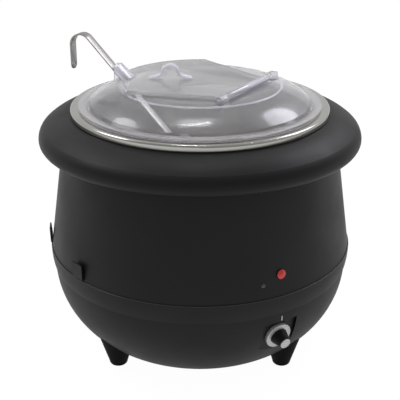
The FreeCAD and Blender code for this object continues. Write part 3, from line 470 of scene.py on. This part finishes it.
def handed_over(piece, name, body, slot, finish=None, replaced=()):
    """Name the piece, give it its finish and body, and let it stand for its CAD nodes."""
    active(piece)
    bpy.ops.object.shade_smooth_by_angle(angle=SMOOTH_BELOW)
    piece.name = name
    piece.data.name = name
    piece.data.materials.clear()
    piece.data.materials.append(finish or finishes[slot])
    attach(piece, body)
    if replaced:
        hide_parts(*replaced)


def turned_disc(radius, low, high, sides):
    """A short cylinder on Z between two heights, in millimetres, at the origin of its frame."""
    start_piece()
    bpy.ops.mesh.primitive_cylinder_add(vertices=sides, radius=radius * MM, depth=(high - low) * MM,
                                        location=(0, 0, (low + high) / 2 * MM))
    return settled(bpy.context.object)


def cross_rod(radius, length, place):
    """A rod along X, in millimetres, with its middle at a place in its frame."""
    start_piece()
    bpy.ops.mesh.primitive_cylinder_add(vertices=64, radius=radius * MM, depth=length * MM,
                                        location=Vector(place) * MM, rotation=(0, QUARTER, 0))
    return settled(bpy.context.object)


def flat_strip(length, width, place, tilt):
    """A flat rectangle, in millimetres, that is turned about Y from lying along X."""
    start_piece()
    bpy.ops.mesh.primitive_plane_add(size=1, location=Vector(place) * MM, rotation=(0, tilt, 0))
    strip = bpy.context.object
    strip.scale = (length * MM, width * MM, 1)
    return settled(strip)


def ring_bead(radius, thickness, height):
    """A round bead about the kettle's axis, in millimetres."""
    start_piece()
    bpy.ops.mesh.primitive_torus_add(major_segments=256, minor_segments=12, major_radius=radius * MM,
                                     minor_radius=thickness * MM, location=(0, 0, height * MM))
    return settled(bpy.context.object)


# Hinged flap, sizes in millimetres
FLAP_RADIUS = 88
FLAP_SIDES = 256
FLAP_LOW = 291.8
FLAP_TOP = 294.8
FLAP_HALF_WIDTH = 41
FLAP_FLARE = math.radians(20)
FLAP_RIM_LOW = 290.2
FLAP_RIM_WALL = 2.5
FLAP_RIM_START = 41.9
FLAP_RIM_INSET = 0.02
FLAP_RIM_SUNK = 1

# Hinge barrel on the flap, sizes in millimetres
HINGE_OFFSET = 58
HINGE_HEIGHT = 295.4
BARREL_RADIUS = 3.3
BARREL_LENGTH = 84
BARREL_REACH = 4
PIN_BORE_RADIUS = 1.6
PIN_BORE_CUT = 90

# Hood over the ladle's notch, sizes in millimetres from the notch
HOOD_HALF_WIDTH = 9
HOOD_WALL = 2
HOOD_BACK_WALL = 2.4
HOOD_MOUTH = -7.3
HOOD_BACK = 10.7
HOOD_SLOPE_START = -3.6
HOOD_SLOPE_END = 0.1
HOOD_TOP = 310.3
HOOD_SUNK = 0.6
HOOD_CUT_AHEAD = 6
HOOD_CUT_BELOW = 8
HOOD_MARGIN = 0.5
HOOD_FOOT = 0.2


def hood_block(half_width, front, back, low, top):
    """An arched block with an upright mouth whose roof slopes down to the flap behind it."""
    spring = top - half_width
    block = cross_rod(half_width, back - front, ((front + back) / 2, 0, spring))
    trimmed(block, (0, 0, spring), (0, 0, -1))
    choose(block, "FACE", lambda place: place.z < (spring + NEAR) * MM)
    extruded(0, 0, low - spring)
    close_edit()
    whole(block)
    bpy.ops.mesh.bisect(plane_co=(HOOD_SLOPE_START * MM, 0, 0), plane_no=(1, 0, 0))
    close_edit()
    choose(block, "VERT", lambda place: place.x > (back - NEAR) * MM and place.z > FLAP_TOP * MM)
    bpy.ops.transform.resize(value=(1, 1, HOOD_SLOPE_END), center_override=(back * MM, 0, FLAP_TOP * MM))
    close_edit()
    return settled(block, LADLE_FRAME)


def flap_plate():
    """The flap's flared plate with its turned-down rim and the bored hinge barrel."""
    plate = turned_disc(FLAP_RADIUS, FLAP_LOW, FLAP_TOP, FLAP_SIDES)
    trimmed(plate, (0, -HINGE_OFFSET, 0), (0, -1, 0))
    for side in (-1, 1):
        outward = (side * math.cos(FLAP_FLARE), -math.sin(FLAP_FLARE), 0)
        trimmed(plate, (side * FLAP_HALF_WIDTH, -HINGE_OFFSET, 0), outward)
    rim = turned_disc(FLAP_RADIUS - FLAP_RIM_INSET, FLAP_RIM_LOW, FLAP_TOP - FLAP_RIM_SUNK, FLAP_SIDES)
    choose(rim, "FACE", lambda place: place.xy.length < FLAP_RADIUS / 2 * MM)
    bpy.ops.mesh.delete(type="ONLY_FACE")
    close_edit()
    modified(rim, "SOLIDIFY", thickness=FLAP_RIM_WALL * MM, offset=-1)
    trimmed(rim, (0, FLAP_RIM_START, 0), (0, -1, 0))
    hinge = (0, -HINGE_OFFSET, HINGE_HEIGHT)
    combined(plate, settled(rim), "UNION")
    combined(plate, cross_rod(BARREL_RADIUS, BARREL_LENGTH, hinge), "UNION")
    combined(plate, cross_rod(PIN_BORE_RADIUS, PIN_BORE_CUT, hinge), "DIFFERENCE")
    return settled(plate, FLAP_FRAME)


def flap_piece():
    """The flap as one moulding with the ladle's hood, thicker to look at in its hood and barrel."""
    flap = flap_plate()
    hood = hood_block(HOOD_HALF_WIDTH, HOOD_MOUTH, HOOD_BACK, FLAP_LOW + HOOD_SUNK, HOOD_TOP)
    combined(flap, hood, "UNION")
    hollow = hood_block(HOOD_HALF_WIDTH - HOOD_WALL, HOOD_MOUTH - HOOD_CUT_AHEAD, HOOD_BACK - HOOD_BACK_WALL,
                        FLAP_LOW - HOOD_CUT_BELOW, HOOD_TOP - HOOD_WALL)
    combined(flap, hollow, "DIFFERENCE")
    rounded(flap, width=0.5, segments=2, sharp=45)
    handed_over(settled(flap), "hinged_flap", "flap", "clear_plastic", FLAP_CLEAR, replaced=("lid_flap",))
    flap.data.materials.append(THICK_CLEAR)
    to_ladle = LADLE_FRAME.inverted()
    to_flap = FLAP_FRAME.inverted()
    for face in flap.data.polygons:
        by_hood = to_ladle @ face.center / MM
        by_hinge = to_flap @ face.center / MM
        in_length = HOOD_MOUTH - HOOD_MARGIN < by_hood.x < HOOD_BACK + HOOD_MARGIN
        in_width = abs(by_hood.y) < HOOD_HALF_WIDTH + HOOD_MARGIN
        in_hood = in_length and in_width and by_hood.z > FLAP_TOP + HOOD_FOOT
        if in_hood or by_hinge.y < BARREL_REACH - HINGE_OFFSET:
            face.material_index = 1


# Grip on the flap, sizes in millimetres
GRIP_START = -54.5
GRIP_LINE = 7
GRIP_WIDTH = 12
GRIP_WALL = 3
GRIP_CORNER = 1.1
GRIP_SEAT = FLAP_TOP + 0.05
GRIP_LEDGE = 7.35
GRIP_LEDGE_END = 0.25
GRIP_FOOT_ROUND = 7.5
GRIP_ARCH_ROUND = 8.7
GRIP_LEAN = math.radians(75)
GRIP_STEPS = 12


def grip_piece():
    """The flap's grip: a strap that lies on the flap, arches over a finger's hold and lies down again."""
    across = math.sin(GRIP_LEAN)
    level = GRIP_SEAT + GRIP_WALL / 2
    strap = flat_strip(GRIP_WALL, GRIP_WIDTH, (GRIP_START, GRIP_LINE, level), QUARTER)
    whole(strap)
    bpy.ops.mesh.bevel(offset=GRIP_CORNER * MM, segments=4, affect="VERTICES")
    close_edit()
    foot_start = GRIP_START + GRIP_LEDGE
    foot_end = foot_start + GRIP_FOOT_ROUND * across
    arch_low = level + GRIP_FOOT_ROUND * (1 - math.cos(GRIP_LEAN))
    arch_middle = foot_end + GRIP_ARCH_ROUND * across
    far_foot = foot_end + (2 * GRIP_ARCH_ROUND + GRIP_FOOT_ROUND) * across
    foot_centre = level + GRIP_FOOT_ROUND
    arch_centre = arch_low - GRIP_ARCH_ROUND * math.cos(GRIP_LEAN)
    bends = (
        (1, foot_start, foot_centre, 1),
        (-1, arch_middle, arch_centre, 2),
        (1, far_foot, foot_centre, 1),
    )
    whole(strap)
    extruded(GRIP_LEDGE, 0, 0)
    for side, centre, height, turns in bends:
        bpy.ops.mesh.spin(steps=turns * GRIP_STEPS, angle=turns * GRIP_LEAN, axis=(0, side, 0),
                          center=(centre * MM, GRIP_LINE * MM, height * MM))
    extruded(GRIP_LEDGE, 0, 0)
    close_edit()
    for end in (GRIP_START, far_foot + GRIP_LEDGE):
        choose(strap, "VERT", lambda place: abs(place.x - end * MM) < NEAR * MM)
        bpy.ops.transform.resize(value=(1, 1, GRIP_LEDGE_END), center_override=(0, 0, GRIP_SEAT * MM))
        close_edit()
    handed_over(settled(strap), "arched_grip", "flap", "clear_plastic", GRIP_CLEAR, replaced=("flap_grip",))


# Beads on the lid's shoulder and line on the casing's ledge, in millimetres
BEAD_RADIUS = 86.4
BEAD_THICKNESS = 1.2
BEAD_HEIGHT = 289.9
BEAD_FLATTENED = 0.8
BEAD_PAST_SIDE = 4
BEAD_PAST_HINGE = 9
LEDGE_RADIUS = 166.75
LEDGE_THICKNESS = 0.6
LEDGE_HEIGHT = 115.5


def lid_bead(name, place, normal):
    """A moulded bead on the lid's shoulder, kept where the flap doesn't lie over it."""
    bead = ring_bead(BEAD_RADIUS, BEAD_THICKNESS, BEAD_HEIGHT)
    whole(bead)
    bpy.ops.transform.resize(value=(1, 1, BEAD_FLATTENED), center_override=(0, 0, BEAD_HEIGHT * MM))
    close_edit()
    trimmed(bead, place, normal)
    handed_over(settled(bead), name, "lid_body", "clear_plastic", THICK_CLEAR)


def bead_pieces():
    """The lid's beads in front of the flap and beyond its hinge, and the line on the casing's ledge, whose
    lighter coat is a painted highlight.
    """
    front_side = FLAP_FRAME @ Vector((-math.cos(FLAP_FLARE), -math.sin(FLAP_FLARE), 0))
    front_corner = FLAP_FRAME @ Vector((-FLAP_HALF_WIDTH - BEAD_PAST_SIDE, -HINGE_OFFSET, 0))
    hinge_side = FLAP_FRAME @ Vector((0, -1, 0))
    lid_bead("front_bead", front_corner, -front_side)
    lid_bead("right_bead", hinge_side * (HINGE_OFFSET + BEAD_PAST_HINGE), -hinge_side)
    line = ring_bead(LEDGE_RADIUS, LEDGE_THICKNESS, LEDGE_HEIGHT)
    # The ledge line's lighter coat is a painted highlight
    handed_over(line, "ledge_line", "casing", "black_shell", LEDGE_HIGHLIGHT_COAT)


# Ladle's strip, in millimetres from the notch, and its hook
LADLE_LEAN = math.radians(47)
LADLE_NOTCH = Vector((0, 0, 293.3))
LADLE_BELOW = 205.5
LADLE_ABOVE = 56.7
LADLE_WIDTH = 11.9
LADLE_WALL = 1.5
HOOK_ROUND = 11.7
HOOK_STEPS = 28
HOOK_DROP = 26.9
HOOK_TIP_ROUND = 5.6
HOOK_HOLE_RADIUS = 1.5
HOOK_HOLE_CUT = 8
HOOK_HOLE_RISE = 5.5
HOOK_NEAR = 0.1


def ladle_piece():
    """The ladle's handle: a flat strip that leans out of the pot and hooks over.

    It ends in a round tip with a hole.
    """
    upward = Vector((-math.cos(LADLE_LEAN), 0, math.sin(LADLE_LEAN)))
    inward = Vector((-math.sin(LADLE_LEAN), 0, -math.cos(LADLE_LEAN)))
    low = LADLE_NOTCH + upward * -LADLE_BELOW
    top = LADLE_NOTCH + upward * LADLE_ABOVE
    strip = flat_strip((top - low).length, LADLE_WIDTH, (low + top) / 2, LADLE_LEAN)
    hook_centre = top + inward * HOOK_ROUND
    hook_side = hook_centre.x - HOOK_ROUND
    tip_height = hook_centre.z - HOOK_DROP
    choose(strip, "VERT", lambda place: place.z > (top.z - HOOK_NEAR) * MM)
    bpy.ops.mesh.spin(steps=HOOK_STEPS, angle=QUARTER + LADLE_LEAN, center=hook_centre * MM, axis=(0, 1, 0))
    extruded(0, 0, -HOOK_DROP)
    close_edit()
    choose(strip, "VERT", lambda place: place.x < (hook_side + HOOK_NEAR) * MM
           and place.z < (tip_height + HOOK_NEAR) * MM)
    bpy.ops.mesh.bevel(offset=HOOK_TIP_ROUND * MM, segments=8, affect="VERTICES")
    close_edit()
    modified(strip, "SOLIDIFY", thickness=LADLE_WALL * MM, offset=0)
    hole = cross_rod(HOOK_HOLE_RADIUS, HOOK_HOLE_CUT, (hook_side, 0, tip_height + HOOK_HOLE_RISE))
    combined(strip, hole, "DIFFERENCE")
    rounded(strip, width=0.3, segments=2, sharp=50)
    settled(strip, LADLE_FRAME)
    handed_over(strip, "ladle_strip", "ladle", "ladle_steel", replaced=("ladle_handle",))


# Knob on the panel, sizes in millimetres, with heights out of the panel
DIAL_RADIUS = 14.25
DIAL_SIDES = 128
DIAL_LOW = 0.3
DIAL_TOP = 4.3
DIAL_BORDER = 1.1
DIAL_RING_SLOPE = 0.3
DIAL_RING_DEPTH = 0.25
DIAL_RING_WIDTH = 3
KNOB_SIDES = 96
KNOB_BASE = 9.4
KNOB_END = 6.2
KNOB_LOOP = 1.4
KNOB_TOP = DIAL_TOP + 11.5
CAP_RADIUS = 5.6
CAP_TOP = KNOB_TOP + 1
CAP_BORDER = 0.9
CAP_SLOPE = 0.3
CAP_DEPTH = 0.2


def dial_piece():
    """The knob's bright dial, with a sunk face inside its border."""
    dial = turned_disc(DIAL_RADIUS, DIAL_LOW, DIAL_TOP, DIAL_SIDES)
    choose(dial, "FACE", lambda place: place.z > (DIAL_TOP - NEAR) * MM)
    bpy.ops.mesh.inset(thickness=DIAL_BORDER * MM)
    bpy.ops.mesh.inset(thickness=DIAL_RING_SLOPE * MM, depth=-DIAL_RING_DEPTH * MM)
    bpy.ops.mesh.inset(thickness=DIAL_RING_WIDTH * MM)
    close_edit()
    rounded(dial, width=0.35, segments=3, sharp=40)
    handed_over(settled(dial, PANEL_FRAME), "dial_face", "knob", "silver_trim", replaced=("dial_disc",))


def knob_piece():
    """The knob's tapered grip with rounded edges, and a loop above its base that keeps the shading even."""
    start_piece()
    bpy.ops.mesh.primitive_cone_add(vertices=KNOB_SIDES, radius1=KNOB_BASE * MM, radius2=KNOB_END * MM,
                                    depth=(KNOB_TOP - DIAL_TOP) * MM,
                                    location=(0, 0, (KNOB_TOP + DIAL_TOP) / 2 * MM))
    knob = settled(bpy.context.object)
    whole(knob)
    bpy.ops.mesh.bisect(plane_co=(0, 0, (DIAL_TOP + KNOB_LOOP) * MM), plane_no=(0, 0, 1))
    close_edit()
    rounded(knob, width=0.5, segments=3, sharp=40)
    handed_over(settled(knob, PANEL_FRAME), "tapered_knob", "knob", "black_plastic", replaced=("knob_grip",))


def cap_piece():
    """The bright cap on the knob's end, slightly dished."""
    cap = turned_disc(CAP_RADIUS, KNOB_TOP, CAP_TOP, KNOB_SIDES)
    choose(cap, "FACE", lambda place: place.z > (CAP_TOP - NEAR) * MM)
    bpy.ops.mesh.inset(thickness=CAP_BORDER * MM)
    bpy.ops.mesh.inset(thickness=CAP_SLOPE * MM, depth=-CAP_DEPTH * MM)
    close_edit()
    rounded(cap, width=0.2, segments=2, sharp=40)
    handed_over(settled(cap, PANEL_FRAME), "knob_end_cap", "knob", "silver_trim", replaced=("knob_cap",))


# Index mark above the knob, sizes in millimetres, with heights out of the wall
MARK_HALF_WIDTH = 0.6
MARK_SIDES = 32
MARK_LOW = 0.05
MARK_TOP = 0.3
MARK_REACH = 2.3


def mark_piece():
    """The index mark: a short stroke with round ends."""
    stroke = turned_disc(MARK_HALF_WIDTH, MARK_LOW, MARK_TOP, MARK_SIDES)
    for side in (1, -1):
        choose(stroke, "VERT", lambda place: side * place.y > NEAR * MM)
        bpy.ops.transform.translate(value=(0, side * MARK_REACH * MM, 0))
        close_edit()
    rounded(stroke, width=0.08, segments=2, sharp=60)
    handed_over(settled(stroke, MARK_FRAME), "index_stroke", "casing", "white_mark", replaced=("index_mark",))


# Pilot lamp's lens, sizes in millimetres, with heights out of the wall
LENS_ROUND = 6.76
LENS_TOP = 3.3
LENS_DOME_LOW = 1.3
LENS_FOOT = 1


def lamp_piece():
    """The pilot lamp's domed lens on its short foot."""
    start_piece()
    bpy.ops.mesh.primitive_uv_sphere_add(segments=64, ring_count=48, radius=LENS_ROUND * MM,
                                         location=(0, 0, (LENS_TOP - LENS_ROUND) * MM))
    lens = settled(bpy.context.object)
    trimmed(lens, (0, 0, LENS_DOME_LOW), (0, 0, -1))
    choose(lens, "FACE", lambda place: place.z < (LENS_DOME_LOW + NEAR) * MM)
    extruded(0, 0, -LENS_FOOT)
    close_edit()
    handed_over(settled(lens, LAMP_FRAME), "lamp_lens", "casing", "red_lens", replaced=("pilot_lens",))


flap_piece()
grip_piece()
bead_pieces()
ladle_piece()
dial_piece()
knob_piece()
cap_piece()
mark_piece()
lamp_piece()

# Clear pieces cast no shadow, so that light reaches the pot's inside
CLEAR_PIECES = ("lid", "hinged_flap", "arched_grip", "front_bead", "right_bead")
for label in CLEAR_PIECES:
    bpy.data.objects[label].visible_shadow = False


def stage_floor():
    """A pale floor that shows white to the camera and still takes a soft shadow."""
    start_piece()
    bpy.ops.mesh.primitive_plane_add(size=FLOOR_SIZE)
    floor = bpy.context.object
    floor.name = "stage_floor"
    material, tree, shader = new_material("pale_floor")
    shader.inputs["Base Color"].default_value = FLOOR_COLOUR
    shader.inputs["Roughness"].default_value = FLOOR_ROUGH
    rays = add(tree, "ShaderNodeLightPath").outputs
    glow = add(tree, "ShaderNodeEmission", Strength=BACKGROUND_WHITE)
    mix = add(tree, "ShaderNodeMixShader")
    seen = worked_out(tree, "MAXIMUM", rays["Is Camera Ray"], rays["Is Transmission Ray"])
    mirrored = worked_out(tree, "MULTIPLY", rays["Is Glossy Ray"], FLOOR_MIRRORED)
    shown = worked_out(tree, "MAXIMUM", seen, mirrored)
    links = tree.links
    links.new(worked_out(tree, "MULTIPLY", shown, FLOOR_SHADE), mix.inputs["Fac"])
    links.new(shader.outputs["BSDF"], mix.inputs[1])
    links.new(glow.outputs["Emission"], mix.inputs[2])
    links.new(mix.outputs["Shader"], tree.nodes["Material Output"].inputs["Surface"])
    floor.data.materials.append(material)


def white_world():
    """White to the camera, also through clear plastic, and else a room that is dimmer in front."""
    world = bpy.data.worlds.new("studio")
    world.use_nodes = True
    bpy.context.scene.world = world
    tree = world.node_tree
    back = tree.nodes["Background"]
    back.inputs["Color"].default_value = (1, 1, 1, 1)
    rays = add(tree, "ShaderNodeLightPath").outputs
    place = add(tree, "ShaderNodeTexCoord")
    parts = add(tree, "ShaderNodeSeparateXYZ")
    tree.links.new(place.outputs["Generated"], parts.inputs["Vector"])
    room = spread(tree, parts.outputs["Y"], ROOM_SPAN, ROOM_LIGHT, interpolation_type="SMOOTHSTEP")
    unmirrored = worked_out(tree, "LESS_THAN", rays["Glossy Depth"], HALF_BOUNCE)
    through = worked_out(tree, "MULTIPLY", rays["Is Transmission Ray"], unmirrored)
    seen = worked_out(tree, "MAXIMUM", rays["Is Camera Ray"], through)
    tree.links.new(worked_out(tree, "MAXIMUM", seen, room), back.inputs["Strength"])


def soft_lamp(name, shape, place, size, power, colour):
    """An area lamp turned to the middle of the kettle's top."""
    lamp = bpy.data.lights.new(name, "AREA")
    lamp.shape = shape
    lamp.size = size[0]
    lamp.size_y = size[1]
    lamp.energy = power
    lamp.color = colour
    holder = bpy.data.objects.new(name, lamp)
    holder.location = place
    holder.rotation_euler = (LAMP_AIM - Vector(place)).to_track_quat("-Z", "Y").to_euler()
    bpy.context.scene.collection.objects.link(holder)


def photo_camera():
    """The camera at the photograph's viewing angle."""
    camera = bpy.data.cameras.new("photo_camera")
    camera.sensor_width = SENSOR_MM
    camera.lens = FOCAL_PIXELS / IMAGE_PIXELS * SENSOR_MM
    holder = bpy.data.objects.new("photo_camera", camera)
    holder.location = CAMERA_PLACE
    holder.rotation_euler = (AIM_PLACE - CAMERA_PLACE).to_track_quat("-Z", "Y").to_euler()
    bpy.context.scene.collection.objects.link(holder)
    bpy.context.scene.camera = holder


stage_floor()
white_world()
soft_lamp("left_window", "ELLIPSE", place=(-1.05, 0.25, 1.35), size=(0.8, 0.55),
          power=5.4, colour=(0.97, 0.955, 1))
soft_lamp("right_window", "ELLIPSE", place=(0.95, 0.65, 1.27), size=(0.75, 0.65),
          power=6.2, colour=(0.94, 0.92, 1))
soft_lamp("ceiling_strip", "RECTANGLE", place=(-0.06, 0.17, 1.75), size=(0.42, 0.12),
          power=3, colour=(1, 1, 1))
photo_camera()
bpy.context.scene.view_settings.view_transform = "Standard"
